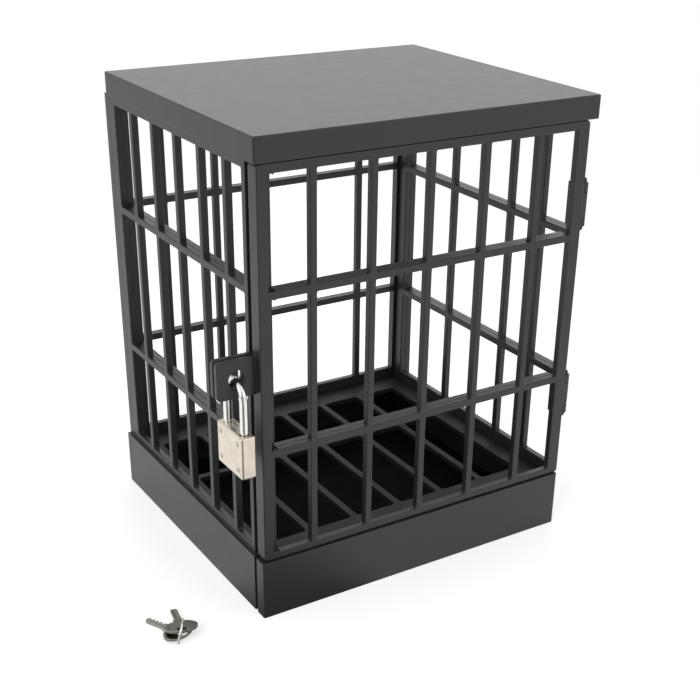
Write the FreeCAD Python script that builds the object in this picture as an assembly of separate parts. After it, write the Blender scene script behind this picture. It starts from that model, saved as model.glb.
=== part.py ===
import FreeCAD, Part
import math
import os

from FreeCAD import Placement, Rotation, Vector

# Lockable cage box with a barred door, a mini padlock and its two keys.
# Millimetres. The origin is the middle of the base on the ground, +Z is up,
# the door is on the -Y side and the padlock hangs at the front left corner.

# Overall sizes
total_height = 205.0
base_width = 159.3
base_depth = 144.7
kick_height = 26.9
kick_wall = 2.5
kick_corner_radius = 0.6

# Lid
lid_height = 10.0
lid_top_wall = 2.4
lid_skirt_wall = 2.2
lid_left_overhang = 1.0
lid_seat = 1.2
lid_hinge_cover = 0.35
lid_corner_radius = 0.8
lid_edge_radius = 0.6
lid_rim_wall = 2.0
lid_rim_drop = 3.0

# Bars and rails, the same in all four walls
bar_width = 3.1
bar_depth = 3.1
frame_depth = 6.2
bar_edge_radius = 0.4
opening_corner_radius = 0.6
middle_rail_height = 3.2
bottom_rail_height = 3.2
top_rail_height = 3.7
lower_rail_z = 75.3
upper_rail_drop = 52.4

# Side walls
side_wall_inset = 1.55
side_wall_front_gap = 2.9
side_wall_rear_gap = 0.15
front_post_width = 3.1
rear_post_width = 6.2
side_bar_pitch = 22.2
side_bar_shift = -1.275
side_bar_count = 5
side_kick_gap = 1.55
right_wall_shift = 3.7
right_bar_offset = -1.2
flange_thickness = 2.0
ledge_depth = 4.0
ledge_thickness = 3.0

# Rear wall
rear_panel_thickness = 4.05
rear_stile_width = 6.2
front_bar_pitch = 27.1
front_bar_count = 5

# Front kick plate
front_kick_depth = 6.5
snap_peg_radius = 1.7
snap_peg_inset = 17.65

# Floor
floor_thickness = 2.5
floor_slot_width = 20.3
floor_rib_width = 3.1
floor_slot_count = 6
floor_front_margin = 11.35
floor_slot_length = 67.8
floor_rear_slot_length = 38.0
floor_slot_corner = 2.0

# Base cover
base_cover_lift = 1.0
base_cover_thickness = 1.5
base_post_radius = 1.9
base_post_margin = 0.35
base_post_inset = 22.35

# Door
door_left_overhang = 0.1
door_right_overhang = 2.4
door_inset = 1.05
door_thickness = 6.3
left_stile_width = 7.2
left_stile_face = 4.2
left_stile_rebate = 3.1
right_stile_width = 6.1
door_corner_radius = 1.6
door_edge_radius = 0.5

# Hinges
hinge_height = 19.3
upper_hinge_drop = 37.3
lower_hinge_z = 67.1
ear_height = 4.0
barrel_radius = 2.0
barrel_overhang = 0.25
pin_radius = 0.9
pin_top_out = 1.0
pin_bottom_out = 1.0
pin_knob_radius = 1.25
hinge_web = 2.0
hinge_pad = 0.3
hinge_pad_depth = 2.5

# Hasp ears
ear_plate_thickness = 2.1
ear_plate_width = 17.0
ear_plate_bottom = 103.5
ear_plate_top = 119.5
ear_plate_corner = 1.5
ear_hole_radius = 3.85
ear_hole_z = 111.4
ear_hole_offset = 0.4
ear_plane_gap = 1.3

# Padlock
wire_radius = 1.6
wire_end_chamfer = 0.4
leg_spacing = 14.4
case_width = 21.6
case_thickness = 6.6
case_height = 18.4
case_corner_radius = 1.2
case_edge_radius = 0.9
shell_wall = 0.6
shackle_reach = 13.2
short_leg_depth = 6.9
long_leg_depth = 12.0
leg_bore_spare = 0.5
bore_floor = 1.0
shackle_travel = 7.2
plug_radius = 2.2
plug_flat = -0.3
plug_top_depth = 2.2
keyway_width = 1.2
keyway_height = 3.2
keyway_depth = 10.5
wafer_count = 3
wafer_thickness = 0.5
wafer_pitch = 2.4
wafer_window_wall = 0.4
wafer_half_width = 1.0
wafer_half_height = 1.9
latch_half_width = 1.2
latch_height = 1.2
latch_depth = 3.6
latch_bite = 0.45
latch_travel = 1.7
notch_play = 0.15
rivet_radius = 1.1
rivet_inset = 3.5
rivet_head = 0.18
rivet_shank = 0.9
spring_outer_radius = 1.4
spring_wall = 0.5

# Keys and ring
key_thickness = 1.0
key_bow_width = 14.0
key_bow_length = 10.5
key_hole_radius = 2.2
key_hole_offset = 2.6
key_blade_width = 3.0
key_reach = 20.5
key_shoulder_width = 4.6
key_shoulder_length = 1.4
key_tip_chamfer = 1.0
key_cut_count = 4
key_cut_radius = 0.8
key_cut_pitch = 2.1
key_first_cut = 2.2
key_groove_width = 0.7
key_groove_depth = 0.2
ring_radius = 5.0
ring_wire_radius = 0.45
ring_lean = 12.0
ring_heading = 33.0
ring_hole_offset = 3.6
keys_x = -115.2
keys_y = -66.8
key_1_heading = 23.3
key_2_heading = -13.2
key_1_lift = 1.6
key_2_lift = 3.6

# Clearances
seat_gap = 0.15
swing_gap = 0.3
knuckle_gap = 0.2
pin_gap = 0.05
tight_gap = 0.02
leg_gap = 0.15
front_leg_gap = 0.4
hang_gap = 0.05
ground_gap = 0.05

# How far a cutting shape runs past the face that it opens
through = 1.0

# Places that follow from the sizes above
half_width = base_width / 2
half_depth = base_depth / 2
wall_top = total_height - lid_height
floor_top = kick_height - flange_thickness
floor_bottom = floor_top - floor_thickness
upper_rail_z = wall_top - upper_rail_drop
upper_hinge_z = wall_top - upper_hinge_drop
side_plane_x = half_width - side_wall_inset
side_inner_x = side_plane_x - bar_depth
kick_inner_x = half_width - kick_wall
base_right = half_width + right_wall_shift
right_plane_x = side_plane_x + right_wall_shift
right_inner_x = side_inner_x + right_wall_shift
rear_inner_y = half_depth - rear_panel_thickness
door_left = -side_plane_x - door_left_overhang
door_right = side_plane_x + door_right_overhang
door_front = -half_depth + door_inset
door_rear = door_front + door_thickness
door_bottom = kick_height + swing_gap
door_top = wall_top - swing_gap
side_front_y = door_rear + side_wall_front_gap
right_front_y = door_front + bar_depth + swing_gap
side_rear_y = rear_inner_y - side_wall_rear_gap
side_openings_middle = (side_front_y + front_post_width + side_rear_y - rear_post_width) / 2
side_bar_middle_y = side_openings_middle + side_bar_shift
right_bar_middle_y = side_bar_middle_y + right_bar_offset
front_kick_rear = -half_depth + front_kick_depth
side_kick_front_y = front_kick_rear + side_kick_gap
snap_peg_x = half_width - snap_peg_inset
snap_peg_y = front_kick_rear + ledge_depth / 2
floor_slot_front_y = front_kick_rear + floor_front_margin
floor_slot_pitch = floor_slot_width + floor_rib_width
floor_slots_half = floor_slot_count * floor_slot_pitch / 2 - floor_rib_width / 2
base_post_x = floor_slots_half + base_post_margin + base_post_radius
base_post_y = half_depth - base_post_inset
hinge_x = door_right + barrel_radius + barrel_overhang
hinge_y = door_front + door_thickness / 2
hinge_pad_front = hinge_y + barrel_radius + 2 * swing_gap
lid_left = -side_plane_x - lid_left_overhang
lid_right = hinge_x + barrel_radius + lid_hinge_cover
lid_front = door_front
lid_rear = rear_inner_y
ear_left = door_left - ear_plate_width
door_ear_rear = door_rear - swing_gap
door_ear_front = door_ear_rear - ear_plate_thickness
fixed_ear_front = door_ear_rear + ear_plane_gap
fixed_ear_rear = fixed_ear_front + ear_plate_thickness
ear_hole_x = ear_left + ear_plate_width / 2 + ear_hole_offset
padlock_x = ear_hole_x
padlock_y = (door_ear_front + fixed_ear_rear) / 2
crown_radius = leg_spacing / 2
hasp_half_depth = (fixed_ear_rear - door_ear_front) / 2
wire_inner = crown_radius - wire_radius
crown_rest = math.sqrt(wire_inner ** 2 - hasp_half_depth ** 2)
crown_z = ear_hole_z - ear_hole_radius + hang_gap - crown_rest
case_top = crown_z - shackle_reach
case_bottom = case_top - case_height


def box(x0, x1, y0, y1, z0, z1):
    """A block between two corners."""
    return Part.makeBox(x1 - x0, y1 - y0, z1 - z0, Vector(x0, y0, z0))


def fuse(first, *others):
    """One solid from touching pieces, with seams between flush faces removed."""
    return first.fuse(list(others)).removeSplitter()


def rod(radius, z0, z1, x=0.0, y=0.0):
    """An upright round bar."""
    return Part.makeCylinder(radius, z1 - z0, Vector(x, y, z0))


def rod_along_x(radius, x0, x1, y, z):
    return Part.makeCylinder(radius, x1 - x0, Vector(x0, y, z), Vector(1, 0, 0))


def rod_along_y(radius, y0, y1, x, z):
    return Part.makeCylinder(radius, y1 - y0, Vector(x, y0, z), Vector(0, 1, 0))


def rounded_outline(u0, u1, v0, v1, radius, place):
    """A rectangle with round corners; place turns (u, v) into a point."""
    corners = [
        (u1 - radius, v0 + radius, -90),
        (u1 - radius, v1 - radius, 0),
        (u0 + radius, v1 - radius, 90),
        (u0 + radius, v0 + radius, 180),
    ]
    arcs = []
    for u, v, start in corners:
        points = []
        for turn in (0, 45, 90):
            angle = math.radians(start + turn)
            points.append(place(u + radius * math.cos(angle), v + radius * math.sin(angle)))
        arcs.append(Part.Arc(*points).toShape())
    edges = []
    for index, arc in enumerate(arcs):
        following = arcs[(index + 1) % len(arcs)]
        edges.append(arc)
        edges.append(Part.makeLine(arc.lastVertex().Point, following.firstVertex().Point))
    return Part.Wire(edges)


def rounded_prism(x0, x1, y0, y1, z0, z1, radius):
    """An upright block with round vertical edges."""
    outline = rounded_outline(x0, x1, y0, y1, radius, lambda u, v: Vector(u, v, z0))
    return Part.Face(outline).extrude(Vector(0, 0, z1 - z0))


def edges_at(shape, test):
    """The edges whose ends and middle all pass a test."""
    found = []
    for edge in shape.Edges:
        points = [vertex.Point for vertex in edge.Vertexes]
        points.append(edge.valueAt((edge.FirstParameter + edge.LastParameter) / 2))
        if all(test(point) for point in points):
            found.append(edge)
    return found


def near(value, target):
    return abs(value - target) < 1e-4


# Grilles are made lying along X with the outer face at y = 0 and the inner
# face at y = bar_depth, and are then turned to their wall.


def bar_centres(count, pitch, middle):
    return [middle + (index - (count - 1) / 2) * pitch for index in range(count)]


def grille(left, right, bottom, top, left_post, right_post, bars, rail_bottoms):
    """A barred panel whose openings have round corners and eased edges."""
    panel = box(left, right, 0, bar_depth, bottom, top)
    columns = [left + left_post]
    for centre in bars:
        columns += [centre - bar_width / 2, centre + bar_width / 2]
    columns.append(right - right_post)
    rows = [bottom + bottom_rail_height]
    for rail in rail_bottoms:
        rows += [rail, rail + middle_rail_height]
    rows.append(top - top_rail_height)
    cuts = []
    for u0, u1 in zip(columns[0::2], columns[1::2]):
        for v0, v1 in zip(rows[0::2], rows[1::2]):
            outline = rounded_outline(u0, u1, v0, v1, opening_corner_radius,
                                      lambda u, v: Vector(u, -through, v))
            cuts.append(Part.Face(outline).extrude(Vector(0, bar_depth + 2 * through, 0)))
    panel = panel.cut(cuts)

    def on_opening(point):
        on_face = near(point.y, 0) or near(point.y, bar_depth)
        off_sides = not near(point.x, left) and not near(point.x, right)
        off_ends = not near(point.z, bottom) and not near(point.z, top)
        return on_face and off_sides and off_ends

    return panel.makeFillet(bar_edge_radius, edges_at(panel, on_opening))


def turned(shape, angle, offset):
    """A copy turned about Z and then moved."""
    copy = shape.copy()
    copy.Placement = Placement(offset, Rotation(Vector(0, 0, 1), angle))
    return copy


def side_grille(front_y, middle_y, deep_from, post_top):
    """The barred part of a side wall, in the left wall's place.

    The middle rails and the rear post are deeper than the bars; deep_from is
    where that extra depth starts, counted from the bars' outer face.
    """
    bars = [-centre for centre in bar_centres(side_bar_count, side_bar_pitch, middle_y)]
    panel = grille(-side_rear_y, -front_y, kick_height, wall_top, rear_post_width,
                   front_post_width, sorted(bars), [lower_rail_z, upper_rail_z])
    deep_to = deep_from + frame_depth - bar_depth
    extras = [box(-side_rear_y, -side_rear_y + rear_post_width, deep_from, deep_to,
                  kick_height, post_top)]
    for rail in (lower_rail_z, upper_rail_z):
        extras.append(box(-side_rear_y, -front_y - front_post_width, deep_from, deep_to, rail,
                          rail + middle_rail_height))
    return turned(fuse(panel, *extras), -90, Vector(-side_plane_x, 0, 0))


def side_kick():
    """A side wall's kick plate, with the shelf over the floor and the ledge under it."""
    rear_y = rear_inner_y
    plate = box(-half_width, -kick_inner_x, side_kick_front_y, rear_y, 0, kick_height)
    shelf = box(-half_width, -side_inner_x, side_kick_front_y, rear_y, floor_top, kick_height)
    ledge = box(-half_width, -kick_inner_x + ledge_depth, side_front_y, side_rear_y,
                floor_bottom - ledge_thickness, floor_bottom)
    return fuse(plate, shelf, ledge)


def hasp_ear(front, rear, inner_x):
    """A plate that stands out past the corner, with the hole for the shackle."""
    outline = rounded_outline(ear_left, inner_x, ear_plate_bottom, ear_plate_top,
                              ear_plate_corner, lambda u, v: Vector(u, front, v))
    plate = Part.Face(outline).extrude(Vector(0, rear - front, 0))
    return plate.cut(rod_along_y(ear_hole_radius, front - through, rear + through, ear_hole_x,
                                 ear_hole_z))


def left_panel():
    post_rear = side_front_y + front_post_width
    ear = hasp_ear(fixed_ear_front, fixed_ear_rear, -side_inner_x)
    root = box(-side_plane_x, -side_inner_x, fixed_ear_front, post_rear,
               ear_plate_bottom, ear_plate_top)
    wall = side_grille(side_front_y, side_bar_middle_y, bar_depth,
                       wall_top - lid_rim_drop - swing_gap)
    return fuse(side_kick(), wall, ear, root)


def hinge_bracket(middle_z):
    """Two ears with a pad behind them, on the right wall's front post."""
    low = middle_z - hinge_height / 2
    high = middle_z + hinge_height / 2
    ear_right = hinge_x + barrel_radius / 2
    pad = box(right_inner_x - hinge_pad, ear_right, hinge_pad_front,
              hinge_pad_front + hinge_pad_depth, low, high)
    pieces = []
    for z0 in (low, high - ear_height):
        z1 = z0 + ear_height
        barrel = rod(barrel_radius, z0, z1, hinge_x, hinge_y)
        web = box(hinge_x - hinge_web / 2, ear_right, hinge_y, hinge_pad_front, z0, z1)
        pieces += [barrel, web]
    bracket = fuse(pad, *pieces)
    return bracket.cut(rod(pin_radius + tight_gap, low - through, high + through, hinge_x,
                           hinge_y))


def right_panel():
    """The left wall's mirror image, set further out, with a post that carries the hinges."""
    wall = side_grille(right_front_y, right_bar_middle_y, bar_depth - frame_depth, wall_top)
    body = fuse(side_kick(), wall)
    body = body.mirror(Vector(0, 0, 0), Vector(1, 0, 0))
    body.translate(Vector(right_wall_shift, 0, 0))
    reach = hinge_height / 2 + swing_gap
    pin_room = pin_knob_radius + swing_gap
    reliefs = []
    for z in (lower_hinge_z, upper_hinge_z):
        reliefs.append(box(right_inner_x - through, right_plane_x + through,
                           right_front_y - through, hinge_pad_front, z - reach, z + reach))
        reliefs.append(rod(pin_room, z - hinge_height / 2 - pin_bottom_out - pin_room,
                           z + hinge_height / 2 + pin_top_out + pin_room, hinge_x, hinge_y))
    body = body.cut(reliefs)
    return fuse(body, hinge_bracket(lower_hinge_z), hinge_bracket(upper_hinge_z))


def rear_panel():
    bars = bar_centres(front_bar_count, front_bar_pitch, 0)
    upper_stile = rear_stile_width - side_wall_inset
    panel = grille(-right_plane_x, side_plane_x, kick_height, wall_top, upper_stile,
                   upper_stile, bars, [lower_rail_z, upper_rail_z])
    panel = turned(panel, 180, Vector(0, rear_inner_y + bar_depth, 0))
    kick = box(-half_width, base_right, half_depth - kick_wall, half_depth, 0, kick_height)
    shelf = box(-half_width, base_right, rear_inner_y, half_depth, floor_top, kick_height)
    stiles = []
    for left in (-half_width, base_right - rear_stile_width):
        stiles.append(box(left, left + rear_stile_width, rear_inner_y, half_depth, 0,
                          kick_height))
    for left in (-side_plane_x, right_plane_x - upper_stile):
        stiles.append(box(left, left + upper_stile, rear_inner_y, half_depth, kick_height,
                          wall_top))
    for rail in (lower_rail_z, upper_rail_z):
        stiles.append(box(-side_plane_x, right_plane_x, rear_inner_y + bar_depth, half_depth,
                          rail, rail + middle_rail_height))
    ledge_reach = side_inner_x - ledge_depth
    ledge = box(-ledge_reach, ledge_reach, half_depth - kick_wall - ledge_depth,
                half_depth - kick_wall, floor_bottom - ledge_thickness, floor_bottom)
    return fuse(kick, shelf, panel, ledge, *stiles)


def front_kick():
    """The plate under the door: a thin face with returned ends and top."""
    outer = rounded_prism(-half_width, half_width, -half_depth, front_kick_rear, 0,
                          kick_height, kick_corner_radius)
    hollow = box(-kick_inner_x, kick_inner_x, -half_depth + kick_wall,
                 front_kick_rear + through, -through, floor_top)
    reach = kick_inner_x - ledge_depth - swing_gap
    ledge = box(-reach, reach, -half_depth + kick_wall / 2, front_kick_rear + ledge_depth,
                floor_bottom - ledge_thickness, floor_bottom)
    pegs = [rod(snap_peg_radius, floor_bottom - ledge_thickness, floor_top, x, snap_peg_y)
            for x in (-snap_peg_x, snap_peg_x)]
    return fuse(outer.cut(hollow), ledge, *pegs)


def floor_tray():
    """The slotted floor, held between the kick plates' shelves and ledges."""
    reach = kick_inner_x - seat_gap
    front = -half_depth + kick_wall + seat_gap
    rear = half_depth - kick_wall - seat_gap
    plate = box(-reach, reach + right_wall_shift, front, rear, floor_bottom, floor_top)
    cuts = []
    rear_slot_front = floor_slot_front_y + floor_slot_length + floor_rib_width
    rows = [(floor_slot_front_y, floor_slot_length), (rear_slot_front, floor_rear_slot_length)]
    for centre in bar_centres(floor_slot_count, floor_slot_pitch, 0):
        for y0, length in rows:
            cuts.append(rounded_prism(centre - floor_slot_width / 2, centre + floor_slot_width / 2,
                                      y0, y0 + length, floor_bottom - through,
                                      floor_top + through, floor_slot_corner))
    for x in (-snap_peg_x, snap_peg_x):
        cuts.append(rod(snap_peg_radius + tight_gap, floor_bottom - through, floor_top + through,
                        x, snap_peg_y))
    return plate.cut(cuts + corner_reliefs(floor_bottom, floor_top))


def corner_reliefs(bottom, top):
    """What a plate between these heights loses to the rear stiles and the front kick's end."""
    stile_reach = rear_stile_width + seat_gap
    reliefs = [box(left, left + stile_reach, rear_inner_y - seat_gap, half_depth,
                   bottom - through, top + through)
               for left in (-half_width, base_right - stile_reach)]
    reliefs.append(box(kick_inner_x - seat_gap, base_right, -half_depth,
                       front_kick_rear + seat_gap, bottom - through, top + through))
    return reliefs


def base_cover():
    """The plate that closes the hollow under the floor, on four posts."""
    reach = kick_inner_x - seat_gap
    edge_y = half_depth - kick_wall - seat_gap
    top = base_cover_lift + base_cover_thickness
    plate = box(-reach, reach + right_wall_shift, -edge_y, edge_y, base_cover_lift, top)
    plate = plate.cut(corner_reliefs(base_cover_lift, top))
    posts = [rod(base_post_radius, base_cover_lift, floor_bottom, x, y)
             for x in (-base_post_x, base_post_x) for y in (-base_post_y, base_post_y)]
    return fuse(plate, *posts)


def lid():
    """A shallow cap with a skirt, and a rim that drops inside the walls."""
    cap = rounded_prism(lid_left, lid_right, lid_front, lid_rear, wall_top, total_height,
                        lid_corner_radius)
    cap = cap.makeFillet(lid_edge_radius, edges_at(cap, lambda p: near(p.z, total_height)))
    ceiling = total_height - lid_top_wall
    hollow = box(-side_plane_x + lid_seat, right_plane_x - lid_seat,
                 lid_front + lid_skirt_wall, lid_rear - lid_skirt_wall, wall_top - through,
                 ceiling)
    rim_left = -side_inner_x + seat_gap
    rim_right = right_inner_x - seat_gap
    rim_front = door_rear + swing_gap
    rim_rear = lid_rear - lid_skirt_wall - seat_gap
    rim = box(rim_left, rim_right, rim_front, rim_rear, wall_top - lid_rim_drop, ceiling)
    rim = rim.cut(box(rim_left + lid_rim_wall, rim_right - lid_rim_wall,
                      rim_front + lid_rim_wall, rim_rear - lid_rim_wall, 0, ceiling))
    return fuse(cap.cut(hollow), rim)


def door_knuckle(middle_z):
    """The door's barrel between two ears, with its web to the stile."""
    half = hinge_height / 2 - ear_height - knuckle_gap
    barrel = rod(barrel_radius, middle_z - half, middle_z + half, hinge_x, hinge_y)
    web = box(door_right - hinge_web, hinge_x, hinge_y - hinge_web, hinge_y,
              middle_z - half, middle_z + half)
    return [barrel, web]


def door():
    bars = bar_centres(front_bar_count, front_bar_pitch, 0)
    panel = grille(door_left, door_right, door_bottom, door_top, left_stile_width,
                   right_stile_width, bars, [lower_rail_z, upper_rail_z])
    panel = turned(panel, 0, Vector(0, door_front, 0))
    left_stile = box(door_left, door_left + left_stile_width, door_front, door_rear,
                     door_bottom, door_top)
    rails = [box(door_left + left_stile_width, door_right - right_stile_width,
                 door_front + bar_depth, door_rear, rail, rail + middle_rail_height)
             for rail in (lower_rail_z, upper_rail_z)]
    frame = fuse(panel, left_stile, *rails)
    rebate = box(door_left + left_stile_face, door_left + left_stile_width,
                 door_front - through, door_front + left_stile_rebate,
                 door_bottom + bottom_rail_height, door_top - top_rail_height)
    for rail in (lower_rail_z, upper_rail_z):
        rebate = rebate.cut(box(door_left, door_right, door_front - through, door_rear, rail,
                                rail + middle_rail_height))
    frame = frame.cut(rebate)
    corners = edges_at(frame, lambda p: (near(p.x, door_left) or near(p.x, door_right))
                       and (near(p.z, door_bottom) or near(p.z, door_top)))
    frame = frame.makeFillet(door_corner_radius, corners)
    uprights = edges_at(frame, lambda p: near(p.y, door_front)
                        and (near(p.x, door_left) or near(p.x, door_right)))
    frame = frame.makeFillet(door_edge_radius, uprights)
    ear = hasp_ear(door_ear_front, door_ear_rear, door_left + left_stile_width / 2)
    knuckles = door_knuckle(lower_hinge_z) + door_knuckle(upper_hinge_z)
    body = fuse(frame, ear, *knuckles)
    bore = pin_radius + pin_gap
    return body.cut(rod(bore, lower_hinge_z - hinge_height, upper_hinge_z + hinge_height,
                        hinge_x, hinge_y))


def hinge_pin(middle_z):
    """A pin with a round knob at each end."""
    low = middle_z - hinge_height / 2 - pin_bottom_out
    high = middle_z + hinge_height / 2 + pin_top_out
    pin = rod(pin_radius, low, high, hinge_x, hinge_y)
    knobs = []
    for z in (low, high):
        knobs.append(Part.makeSphere(pin_knob_radius, Vector(hinge_x, hinge_y, z)))
    return fuse(pin, *knobs)


# The padlock is made around x = 0, y = 0, at its real height, with the legs
# side by side along Y, and is then moved to the hasp.

leg_y = crown_radius
inner_half_thickness = case_thickness / 2 - shell_wall
inner_half_width = case_width / 2 - shell_wall
latch_bottom = case_top - latch_depth
latch_top = latch_bottom + latch_height
latch_nose = -leg_y + wire_radius - latch_bite
latch_tail = -plug_radius - leg_gap
bite_share = latch_bite / latch_travel
notch_bottom = latch_bottom - bite_share * shackle_travel - notch_play
plug_top = case_top - plug_top_depth
spring_floor = case_bottom + shell_wall + bore_floor


def at_hasp(shape):
    return turned(shape, 0, Vector(padlock_x, padlock_y, 0))


def shackle():
    """The bent wire: a half ring on two legs, the front one short and notched."""
    crown = Part.makeTorus(crown_radius, wire_radius, Vector(0, 0, crown_z), Vector(1, 0, 0),
                           -180, 180, 360)
    reach = crown_radius + 2 * wire_radius
    crown = crown.common(box(-reach, reach, -reach, reach, crown_z, crown_z + reach))
    short_end = case_top - short_leg_depth
    long_end = case_top - long_leg_depth
    short_leg = rod(wire_radius, short_end, crown_z, 0, -leg_y)
    long_leg = rod(wire_radius, long_end, crown_z, 0, leg_y)
    body = fuse(crown, short_leg, long_leg)
    ends = edges_at(body, lambda p: near(p.z, short_end) or near(p.z, long_end))
    body = body.makeChamfer(wire_end_chamfer, ends)
    notch_depth = latch_bite + notch_play
    notch = box(-wire_radius * 2, wire_radius * 2, -leg_y + wire_radius - notch_depth, 0,
                notch_bottom, latch_top + notch_play)
    return at_hasp(body.cut(notch))


def case_block(inset):
    """The padlock's outer form, or one that lies inside it by the inset."""
    half_x = case_thickness / 2 - inset
    half_y = case_width / 2 - inset
    block = rounded_prism(-half_x, half_x, -half_y, half_y, case_bottom + inset,
                          case_top - inset, case_corner_radius - inset)
    rim = edges_at(block, lambda p: near(p.z, case_bottom + inset) or near(p.z, case_top - inset))
    return block.makeFillet(max(case_edge_radius - inset, shell_wall / 2), rim)


def rivet_places():
    """The rivets' y and z, near the four corners of each broad face."""
    ys = [side * (case_width / 2 - rivet_inset) for side in (-1, 1)]
    zs = [case_bottom + rivet_inset, case_top - rivet_inset]
    return [(y, z) for y in ys for z in zs]


def rivet_holes():
    reach = case_thickness
    return [rod_along_x(rivet_radius, -reach, reach, y, z) for y, z in rivet_places()]


def case_shell(side):
    """One stamped half of the padlock's case; side is -1 for the outer one."""
    shell = case_block(0).cut(case_block(shell_wall))
    holes = [
        rod(wire_radius + front_leg_gap, case_top - 2 * shell_wall, case_top + through, 0,
            -leg_y),
        rod(wire_radius + leg_gap, case_top - 2 * shell_wall, case_top + through, 0, leg_y),
        rod(plug_radius + pin_gap, case_bottom - through, case_bottom + 2 * shell_wall),
    ]
    shell = shell.cut(holes + rivet_holes())
    half = box(min(0, side * case_thickness), max(0, side * case_thickness), -case_width,
               case_width, case_bottom - through, case_top + through)
    return at_hasp(shell.common(half))


def case_core():
    """The block inside, bored for the legs, the plug and the latch."""
    core = case_block(shell_wall)
    bores = [
        rod(wire_radius + front_leg_gap, case_top - short_leg_depth - leg_bore_spare, case_top,
            0, -leg_y),
        rod(wire_radius + leg_gap, spring_floor, case_top, 0, leg_y),
        rod(plug_radius + pin_gap, case_bottom, plug_top + leg_gap),
        box(-latch_half_width - pin_gap, latch_half_width + pin_gap, -leg_y, 0,
            latch_bottom - pin_gap, latch_top + pin_gap),
    ]
    for y, z in rivet_places():
        face = case_thickness / 2
        bores.append(rod_along_x(rivet_radius, -face, -face + rivet_shank, y, z))
        bores.append(rod_along_x(rivet_radius, face - rivet_shank, face, y, z))
    return at_hasp(core.cut(bores))


def case_rivets():
    """Short rivets that hold the two shells to the core, four on each side."""
    face = case_thickness / 2
    rivets = []
    for y, z in rivet_places():
        for side in (-1, 1):
            shank = Part.makeCylinder(rivet_radius, rivet_shank + rivet_head,
                                      Vector(side * (face - rivet_shank), y, z),
                                      Vector(side, 0, 0))
            outer = side * (face + rivet_head)
            rim = edges_at(shank, lambda p: near(p.x, outer))
            rivets.append(shank.makeFillet(rivet_head * 0.9, rim))
    return at_hasp(Part.makeCompound(rivets))


def wafer_levels():
    first = case_bottom + keyway_depth - wafer_pitch * wafer_count
    return [first + index * wafer_pitch for index in range(wafer_count)]


def key_plug():
    """The turning barrel: keyway from below, wafer slots, and a half-moon cam on top."""
    plug = rod(plug_radius, case_bottom, plug_top)
    cuts = [
        box(-keyway_width / 2, keyway_width / 2, -keyway_height / 2, keyway_height / 2,
            case_bottom - through, case_bottom + keyway_depth),
        box(plug_flat, plug_radius + through, -plug_radius - through, plug_radius + through,
            latch_bottom - leg_gap, plug_top + through),
    ]
    for z in wafer_levels():
        cuts.append(box(-wafer_half_width - tight_gap, wafer_half_width + tight_gap,
                        -plug_radius, plug_radius, z - tight_gap,
                        z + wafer_thickness + tight_gap))
    return at_hasp(plug.cut(cuts))


def key_wafers():
    """Thin plates across the plug, each with a window for the key."""
    wafers = []
    window_x = wafer_half_width - wafer_window_wall
    window_y = wafer_half_height - wafer_window_wall
    for z in wafer_levels():
        plate = box(-wafer_half_width, wafer_half_width, -wafer_half_height, wafer_half_height,
                    z, z + wafer_thickness)
        window = box(-window_x, window_x, -window_y, window_y, z - through, z + through)
        wafers.append(plate.cut(window))
    return at_hasp(Part.makeCompound(wafers))


def latch_bolt():
    """The small bar whose nose stands in the short leg's notch."""
    bolt = box(-latch_half_width, latch_half_width, latch_nose, latch_tail, latch_bottom,
               latch_top)
    return at_hasp(bolt)


def shackle_spring():
    """The spring under the long leg, hidden in its bore."""
    top = case_top - long_leg_depth - tight_gap
    tube = rod(spring_outer_radius, spring_floor, top, 0, leg_y)
    hole = rod(spring_outer_radius - spring_wall, spring_floor - through, top + through, 0,
               leg_y)
    return at_hasp(tube.cut(hole))


def key_blank():
    """A key lying along +Y, with its ring hole at the origin."""
    bow = Part.Ellipse(Vector(0, key_hole_offset, 0), key_bow_width / 2, key_bow_length / 2)
    bow = Part.Face(Part.Wire(bow.toShape())).extrude(Vector(0, 0, key_thickness))
    blade = box(-key_blade_width / 2, key_blade_width / 2, key_hole_offset, key_reach, 0,
                key_thickness)
    shoulder_y = key_hole_offset + key_bow_length / 2
    shoulder_end = shoulder_y + key_shoulder_length
    shoulder = box(-key_shoulder_width / 2, key_shoulder_width / 2,
                   shoulder_y - key_shoulder_length, shoulder_end, 0, key_thickness)
    key = fuse(bow, blade, shoulder)
    tip = edges_at(key, lambda p: near(p.y, key_reach) and near(abs(p.x), key_blade_width / 2))
    key = key.makeChamfer(key_tip_chamfer, tip)
    cuts = [rod(key_hole_radius, -through, key_thickness + through)]
    for index in range(key_cut_count):
        y = key_reach - key_first_cut - index * key_cut_pitch
        cuts.append(rod(key_cut_radius, -through, key_thickness + through, key_blade_width / 2,
                        y))
    groove = box(-key_groove_width / 2, key_groove_width / 2, shoulder_end, key_reach + through,
                 key_thickness - key_groove_depth, key_thickness + through)
    return key.cut(cuts + [groove])


def laid_key(heading, lift):
    """A key whose tip is on the ground and whose bow is propped on the ring."""
    tilt = math.asin((lift - ground_gap) / key_reach)
    place = Placement(Vector(keys_x, keys_y, lift), Rotation(Vector(0, 0, 1), heading))
    place = place.multiply(Placement(Vector(), Rotation(Vector(1, 0, 0), -math.degrees(tilt))))
    key = key_blank()
    key.Placement = place
    return key


def key_ring():
    """The wire ring, standing in both keys' holes and leaning a little."""
    ring = Part.makeTorus(ring_radius, ring_wire_radius, Vector(0, 0, 0), Vector(1, 0, 0))
    heading = Rotation(Vector(0, 0, 1), -ring_heading)
    lean = Rotation(Vector(0, 1, 0), ring_lean)
    along = heading.multVec(Vector(0, 1, 0))
    ring_z = (ring_radius + ring_wire_radius) + ground_gap
    centre = Vector(keys_x, keys_y, ring_z) - along * ring_hole_offset
    ring.Placement = Placement(centre, heading.multiply(lean))
    return ring


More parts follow.
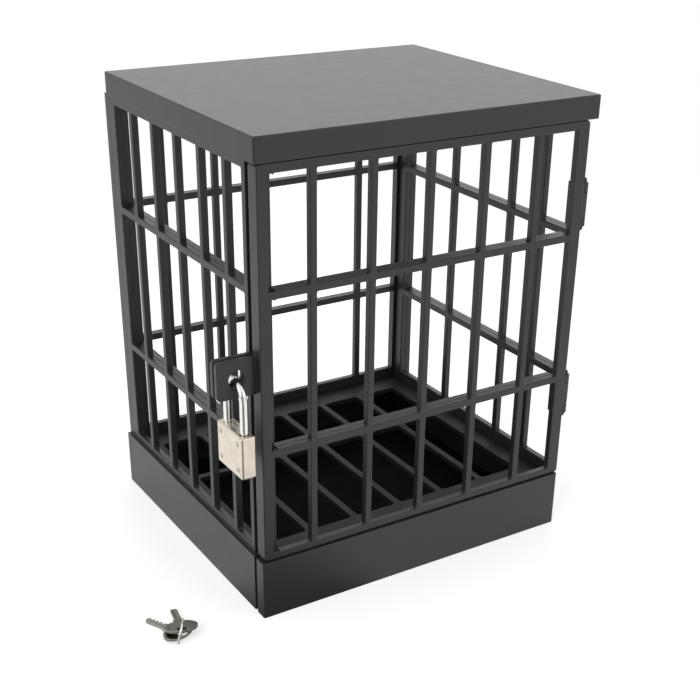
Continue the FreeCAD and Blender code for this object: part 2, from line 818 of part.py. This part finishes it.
parts = {
    "lid": lid(),
    "left_panel": left_panel(),
    "right_panel": right_panel(),
    "rear_panel": rear_panel(),
    "front_kick": front_kick(),
    "floor_tray": floor_tray(),
    "base_cover": base_cover(),
    "door": door(),
    "hinge_pin_upper": hinge_pin(upper_hinge_z),
    "hinge_pin_lower": hinge_pin(lower_hinge_z),
    "shackle": shackle(),
    "case_shell_outer": case_shell(-1),
    "case_shell_inner": case_shell(1),
    "case_core": case_core(),
    "case_rivets": case_rivets(),
    "key_plug": key_plug(),
    "key_wafers": key_wafers(),
    "latch_bolt": latch_bolt(),
    "shackle_spring": shackle_spring(),
    "key_1": laid_key(key_1_heading, key_1_lift),
    "key_2": laid_key(key_2_heading, key_2_lift),
    "key_ring": key_ring(),
}

os.makedirs("parts", exist_ok=True)
for name, shape in parts.items():
    shape.exportStep(f"parts/{name}.step")
    print(name, len(shape.Solids), round(shape.Volume, 1), shape.isValid())

print("hinge axis", round(hinge_x, 3), round(hinge_y, 3))
print("padlock", round(padlock_x, 3), round(padlock_y, 3), "crown", round(crown_z, 3),
      "case", round(case_bottom, 3), round(case_top, 3))
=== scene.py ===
import math

import bpy
from mathutils import Matrix, Vector


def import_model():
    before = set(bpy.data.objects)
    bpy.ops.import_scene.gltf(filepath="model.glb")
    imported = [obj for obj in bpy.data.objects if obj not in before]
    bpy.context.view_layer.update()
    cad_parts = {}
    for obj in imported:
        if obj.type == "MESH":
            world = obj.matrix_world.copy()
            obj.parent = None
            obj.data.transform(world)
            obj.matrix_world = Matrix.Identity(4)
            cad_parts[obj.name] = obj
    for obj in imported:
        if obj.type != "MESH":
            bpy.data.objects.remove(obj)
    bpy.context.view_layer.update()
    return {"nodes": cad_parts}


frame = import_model()

# Camera: the photograph's viewing angle, in metres and degrees
camera_place = Vector((-0.2802, -0.4607, 0.3068))
camera_azimuth = 33.27
camera_dip = 27.02
camera_roll = 1.28
camera_lens = 63.32
camera_shift_x = -0.0352
camera_shift_y = 0.134

# Light: how bright each source looks, where white is 1
world_diffuse = 0.55
key_light_level = 1.7
back_light_level = 0.92
fill_light_level = 0.8

# The lamps' places and sizes, in metres, and the points that they are aimed at
key_light_place = (-1.1, -0.35, 0.75)
key_light_size = (0.9, 0.9)
back_light_place = (0.75, 1.15, 0.95)
back_light_size = (1.3, 1.0)
fill_light_place = (0.7, -1.2, 0.8)
fill_light_size = (0.9, 0.7)
cage_middle = (0.0, 0.0, 0.1)
lid_middle = (0.0, 0.0, 0.2)

# The room that gloss reflects: white, with one dim side in front of the object
dim_side = (-0.55, -0.80, 0.25)
dim_side_level = 0.30
dim_side_start = 0.72
dim_side_full = 0.96

# Painted reflection: a dim grey patch of floor that only reflections see, giving polished
# metal a dark streak; its way is seen from the middle
dark_patch_way = (-0.64, -0.77, 0.0)
dark_patch_start = 0.90
dark_patch_full = 0.985
dark_patch_level = 0.22

# The floor: its lift to white near the object, and where it fades to plain white
floor_lift = 0.52
floor_fade_start = 0.30
floor_fade_end = 0.75
floor_half = 6.0
floor_colour = (0.90, 0.895, 0.885, 1.0)
plain_white = (1.0, 1.0, 1.0, 1.0)


class Nodes:
    """A material's or world's node tree, with short calls to add and join nodes."""

    def __init__(self, owner):
        owner.use_nodes = True
        self.tree = owner.node_tree
        self.tree.nodes.clear()

    def add(self, kind, inputs=None, **settings):
        node = self.tree.nodes.new(kind)
        for name, value in settings.items():
            setattr(node, name, value)
        for name, value in (inputs or {}).items():
            if isinstance(value, bpy.types.NodeSocket):
                self.tree.links.new(value, node.inputs[name])
            else:
                node.inputs[name].default_value = value
        return node

    def noise(self, scale, detail=3.0, stretch=None):
        """Noise in the piece's own space; stretch draws it out along an axis."""
        place = self.add("ShaderNodeTexCoord").outputs["Object"]
        if stretch:
            place = self.add("ShaderNodeMapping", {"Vector": place, "Scale": stretch})
            place = place.outputs["Vector"]
        node = self.add("ShaderNodeTexNoise", {"Vector": place, "Scale": scale,
                                               "Detail": detail})
        return node.outputs["Fac"]

    def spread(self, value, low, high, start=0.3, end=0.7):
        """Maps a value from start..end to low..high."""
        node = self.add("ShaderNodeMapRange", {"Value": value, "From Min": start,
                                               "From Max": end, "To Min": low,
                                               "To Max": high})
        return node.outputs["Result"]

    def blend(self, factor, first, second):
        """A colour between two colours."""
        node = self.add("ShaderNodeMix", data_type="RGBA")
        colours = [socket for socket in node.inputs if socket.type == "RGBA"]
        self.tree.links.new(factor, node.inputs["Factor"])
        for socket, value in zip(colours, (first, second)):
            if isinstance(value, bpy.types.NodeSocket):
                self.tree.links.new(value, socket)
            else:
                socket.default_value = (*value, 1.0)
        return next(socket for socket in node.outputs if socket.type == "RGBA")

    def soft_edges(self, radius):
        """The surface's normal with its edges eased."""
        return self.add("ShaderNodeBevel", {"Radius": radius}, samples=6).outputs["Normal"]

    def edge_mask(self, eased):
        """Near 1 on outside and inside edges, 0 on flats."""
        true_normal = self.add("ShaderNodeNewGeometry").outputs["Normal"]
        match = self.add("ShaderNodeVectorMath", {0: eased, 1: true_normal},
                         operation="DOT_PRODUCT").outputs["Value"]
        return self.spread(match, 1.0, 0.0, 0.80, 0.995)

    def bump(self, height, distance, normal):
        node = self.add("ShaderNodeBump", {"Height": height, "Distance": distance,
                                           "Normal": normal})
        return node.outputs["Normal"]

    def surface(self, shader):
        output = self.add("ShaderNodeOutputMaterial")
        self.tree.links.new(shader, output.inputs["Surface"])


def finish_of(name, base, worn_and_lit_edge, grain_scale, grain_depth, rough_low, rough_high, metallic,
              edge_radius, stretch=None, mottle_scale=60.0, shade=0.75, gloss=0.5):
    """A material with mottled colour, edges lightened partly as rubbed wear and partly as a
    painted edge highlight, uneven roughness and fine grain.
    """
    material = bpy.data.materials.new(name)
    nodes = Nodes(material)
    eased = nodes.soft_edges(edge_radius)
    mottle = nodes.noise(mottle_scale, 4.0)
    darker = tuple(channel * shade for channel in base)
    colour = nodes.blend(nodes.spread(mottle, 0.0, 1.0), darker, base)
    breakup = nodes.noise(mottle_scale * 12, 3.0)
    # Painted edge highlight mixed with rubbed wear: outside and inside edges are lightened
    # towards the edge colour.
    wear_and_highlight = nodes.add("ShaderNodeMath", {0: nodes.edge_mask(eased),
                                        1: nodes.spread(breakup, 0.1, 1.0)},
                     operation="MULTIPLY").outputs["Value"]
    colour = nodes.blend(wear_and_highlight, colour, worn_and_lit_edge)
    smear = nodes.noise(mottle_scale * 2.5, 5.0, stretch)
    grain = nodes.noise(grain_scale, 2.0, stretch)
    shader = nodes.add("ShaderNodeBsdfPrincipled", {
        "Base Color": colour,
        "Metallic": metallic,
        "Roughness": nodes.spread(smear, rough_low, rough_high),
        "Specular IOR Level": gloss,
        "Normal": nodes.bump(grain, grain_depth, eased),
    })
    nodes.surface(shader.outputs["BSDF"])
    return material


def plastic():
    return finish_of("moulded_plastic", base=(0.018, 0.023, 0.022), worn_and_lit_edge=(0.05, 0.058, 0.056),
                     grain_scale=2600.0, grain_depth=0.00003, rough_low=0.41,
                     rough_high=0.44, metallic=0.0, edge_radius=0.0005, shade=0.9)


# Painted shade: the floor tray's colour is darker than the other plastic to stand in for the
# shade cast by the cage; its duller, rougher finish is real.
def shade_darkened_floor_plastic():
    return finish_of("shade_darkened_floor_plastic", base=(0.013, 0.017, 0.016), worn_and_lit_edge=(0.035, 0.042, 0.040),
                     grain_scale=2600.0, grain_depth=0.00003, rough_low=0.52,
                     rough_high=0.58, metallic=0.0, edge_radius=0.0005, shade=0.9, gloss=0.25)


# Painted shade: the base cover is given a near-black colour, darker than the other plastic,
# to stand in for the shade under the floor slots.
def shade_dark_cover_plastic():
    return finish_of("shade_dark_cover_plastic", base=(0.003, 0.004, 0.004), worn_and_lit_edge=(0.006, 0.007, 0.007),
                     grain_scale=2000.0, grain_depth=0.00004, rough_low=0.70,
                     rough_high=0.80, metallic=0.0, edge_radius=0.0005, shade=0.8, gloss=0.06)


def chrome(name):
    return finish_of(name, base=(0.80, 0.80, 0.78), worn_and_lit_edge=(0.88, 0.88, 0.86),
                     grain_scale=900.0, grain_depth=0.000004, rough_low=0.08,
                     rough_high=0.18, metallic=1.0, edge_radius=0.0001,
                     mottle_scale=200.0, shade=0.9)


def nickel():
    return finish_of("satin_nickel", base=(0.72, 0.66, 0.56), worn_and_lit_edge=(0.92, 0.90, 0.85),
                     grain_scale=1500.0, grain_depth=0.000012, rough_low=0.24,
                     rough_high=0.38, metallic=1.0, edge_radius=0.0002,
                     stretch=(1.0, 1.0, 0.15), mottle_scale=180.0, shade=0.88)


def rivet_nickel():
    return finish_of("rivet_nickel", base=(0.50, 0.47, 0.40), worn_and_lit_edge=(0.86, 0.84, 0.78),
                     grain_scale=1500.0, grain_depth=0.000012, rough_low=0.22,
                     rough_high=0.34, metallic=1.0, edge_radius=0.00012, mottle_scale=300.0)


def brass():
    return finish_of("turned_brass", base=(0.62, 0.44, 0.18), worn_and_lit_edge=(0.80, 0.64, 0.34),
                     grain_scale=2500.0, grain_depth=0.000008, rough_low=0.25,
                     rough_high=0.4, metallic=1.0, edge_radius=0.0001, mottle_scale=300.0)


def zinc():
    return finish_of("cast_zinc", base=(0.42, 0.42, 0.43), worn_and_lit_edge=(0.6, 0.6, 0.6),
                     grain_scale=3000.0, grain_depth=0.00002, rough_low=0.4,
                     rough_high=0.6, metallic=1.0, edge_radius=0.0001, mottle_scale=250.0)


def plain_steel():
    return finish_of("plain_steel", base=(0.50, 0.50, 0.49), worn_and_lit_edge=(0.7, 0.7, 0.69),
                     grain_scale=2500.0, grain_depth=0.000008, rough_low=0.25,
                     rough_high=0.4, metallic=1.0, edge_radius=0.0001, mottle_scale=300.0)


def black_steel():
    return finish_of("blackened_steel", base=(0.05, 0.05, 0.05), worn_and_lit_edge=(0.30, 0.30, 0.30),
                     grain_scale=2500.0, grain_depth=0.000008, rough_low=0.3,
                     rough_high=0.45, metallic=1.0, edge_radius=0.0002, mottle_scale=300.0)


def key_steel():
    return finish_of("stamped_key", base=(0.27, 0.268, 0.235), worn_and_lit_edge=(0.95, 0.94, 0.91),
                     grain_scale=1800.0, grain_depth=0.000015, rough_low=0.25,
                     rough_high=0.42, metallic=1.0, edge_radius=0.00022,
                     stretch=(1.0, 0.2, 1.0), mottle_scale=350.0)


def dress(node, material):
    """Gives a CAD node its finish."""
    mesh = frame["nodes"][node].data
    mesh.materials.clear()
    mesh.materials.append(material)


def dress_all():
    black = plastic()
    for node in ("lid", "left_panel", "right_panel", "rear_panel", "front_kick", "door"):
        dress(node, black)
    # The floor tray gets the darker finish with painted shade.
    dress("floor_tray", shade_darkened_floor_plastic())
    # The base cover gets the darker finish with painted shade.
    dress("base_cover", shade_dark_cover_plastic())
    pins = black_steel()
    for node in ("hinge_pin_upper", "hinge_pin_lower"):
        dress(node, pins)
    dress("shackle", chrome("plated_wire"))
    dress("key_ring", chrome("plated_ring"))
    satin = nickel()
    for node in ("case_shell_outer", "case_shell_inner"):
        dress(node, satin)
    dress("case_rivets", rivet_nickel())
    dress("case_core", zinc())
    gold = brass()
    for node in ("key_plug", "key_wafers"):
        dress(node, gold)
    steel = plain_steel()
    for node in ("latch_bolt", "shackle_spring"):
        dress(node, steel)
    stamped = key_steel()
    for node in ("key_1", "key_2"):
        dress(node, stamped)


def camera():
    azimuth = math.radians(camera_azimuth)
    dip = math.radians(camera_dip)
    roll = math.radians(camera_roll)
    forward = Vector((math.sin(azimuth) * math.cos(dip), math.cos(azimuth) * math.cos(dip),
                      -math.sin(dip)))
    level = Vector((math.cos(azimuth), -math.sin(azimuth), 0.0))
    upward = level.cross(forward)
    across = level * math.cos(roll) + upward * math.sin(roll)
    up = upward * math.cos(roll) - level * math.sin(roll)
    data = bpy.data.cameras.new("camera")
    data.sensor_width = 36.0
    data.lens = camera_lens
    data.shift_x = camera_shift_x
    data.shift_y = camera_shift_y
    data.clip_start = 0.01
    data.clip_end = 50.0
    made = bpy.data.objects.new("camera", data)
    turn = Matrix((across, up, -forward)).transposed().to_4x4()
    made.matrix_world = Matrix.Translation(camera_place) @ turn
    bpy.context.collection.objects.link(made)
    bpy.context.scene.camera = made


def softbox(name, place, target, size, level):
    """A rectangular lamp; level is how bright its face looks."""
    width, height = size
    data = bpy.data.lights.new(name, "AREA")
    data.shape = "RECTANGLE"
    data.size = width
    data.size_y = height
    data.energy = level * math.pi * width * height
    made = bpy.data.objects.new(name, data)
    made.location = place
    aim = Vector(target) - Vector(place)
    made.rotation_euler = aim.to_track_quat("-Z", "Y").to_euler()
    bpy.context.collection.objects.link(made)


def lights():
    softbox("key_light", key_light_place, cage_middle, key_light_size, key_light_level)
    softbox("back_light", back_light_place, lid_middle, back_light_size, back_light_level)
    softbox("fill_light", fill_light_place, cage_middle, fill_light_size, fill_light_level)


def seen_directly(nodes):
    """1 for rays from the camera, from reflections and through clear things, else 0."""
    path = nodes.add("ShaderNodeLightPath").outputs
    total = nodes.add("ShaderNodeMath", {0: path["Is Camera Ray"], 1: path["Is Glossy Ray"]},
                      operation="ADD").outputs["Value"]
    return nodes.add("ShaderNodeMath", {0: total, 1: path["Is Transmission Ray"]},
                     operation="ADD", use_clamp=True).outputs["Value"]


def world():
    made = bpy.data.worlds.new("studio")
    bpy.context.scene.world = made
    nodes = Nodes(made)
    direction = nodes.add("ShaderNodeTexCoord").outputs["Generated"]
    aim = Vector(dim_side).normalized()
    facing = nodes.add("ShaderNodeVectorMath", {0: direction, 1: aim},
                       operation="DOT_PRODUCT").outputs["Value"]
    room = nodes.spread(facing, 1.0, dim_side_level, dim_side_start, dim_side_full)
    gloss = nodes.add("ShaderNodeLightPath").outputs["Is Glossy Ray"]
    direct = nodes.spread(gloss, 1.0, room, 0.0, 1.0)
    strength = nodes.spread(seen_directly(nodes), world_diffuse, direct, 0.0, 1.0)
    background = nodes.add("ShaderNodeBackground", {"Color": plain_white,
                                                    "Strength": strength})
    output = nodes.add("ShaderNodeOutputWorld")
    nodes.tree.links.new(background.outputs["Background"], output.inputs["Surface"])


def floor():
    """A pale floor that keeps the shadow, fades to plain white away from the object, and
    shows reflections a painted dark patch.
    """
    material = bpy.data.materials.new("floor")
    nodes = Nodes(material)
    seen = seen_directly(nodes)
    matt = nodes.add("ShaderNodeBsdfDiffuse", {"Color": floor_colour})
    lift = nodes.spread(seen, 0.0, floor_lift, 0.0, 1.0)
    glow = nodes.add("ShaderNodeEmission", {"Color": plain_white, "Strength": lift})
    near = nodes.add("ShaderNodeAddShader", {0: matt.outputs["BSDF"],
                                             1: glow.outputs["Emission"]})
    place = nodes.add("ShaderNodeTexCoord").outputs["Object"]
    distance = nodes.add("ShaderNodeVectorMath", {0: place},
                         operation="LENGTH").outputs["Value"]
    fade = nodes.spread(distance, 0.0, 1.0, floor_fade_start, floor_fade_end)
    share = nodes.add("ShaderNodeMath", {0: fade, 1: seen}, operation="MULTIPLY")
    white = nodes.add("ShaderNodeEmission", {"Color": plain_white, "Strength": 1.0})
    both = nodes.add("ShaderNodeMixShader", {0: share.outputs["Value"],
                                             1: near.outputs["Shader"],
                                             2: white.outputs["Emission"]})
    # Painted reflection: glossy rays see this patch of floor as dim grey emission.
    compass = nodes.add("ShaderNodeVectorMath", {0: place}, operation="NORMALIZE")
    facing = nodes.add("ShaderNodeVectorMath", {0: compass.outputs["Vector"],
                                                1: dark_patch_way},
                       operation="DOT_PRODUCT").outputs["Value"]
    patch = nodes.spread(facing, 0.0, 1.0, dark_patch_start, dark_patch_full)
    mirrored = nodes.add("ShaderNodeLightPath").outputs["Is Glossy Ray"]
    dimmed = nodes.add("ShaderNodeMath", {0: patch, 1: mirrored}, operation="MULTIPLY")
    grey = nodes.add("ShaderNodeEmission", {"Color": plain_white,
                                            "Strength": dark_patch_level})
    all_rays = nodes.add("ShaderNodeMixShader", {0: dimmed.outputs["Value"],
                                                 1: both.outputs["Shader"],
                                                 2: grey.outputs["Emission"]})
    nodes.surface(all_rays.outputs["Shader"])
    mesh = bpy.data.meshes.new("floor")
    corners = [(-floor_half, -floor_half, 0.0), (floor_half, -floor_half, 0.0),
               (floor_half, floor_half, 0.0), (-floor_half, floor_half, 0.0)]
    mesh.from_pydata(corners, [], [(0, 1, 2, 3)])
    mesh.materials.append(material)
    made = bpy.data.objects.new("floor", mesh)
    bpy.context.collection.objects.link(made)


dress_all()
camera()
lights()
world()
floor()

bpy.context.scene.view_settings.view_transform = "Standard"
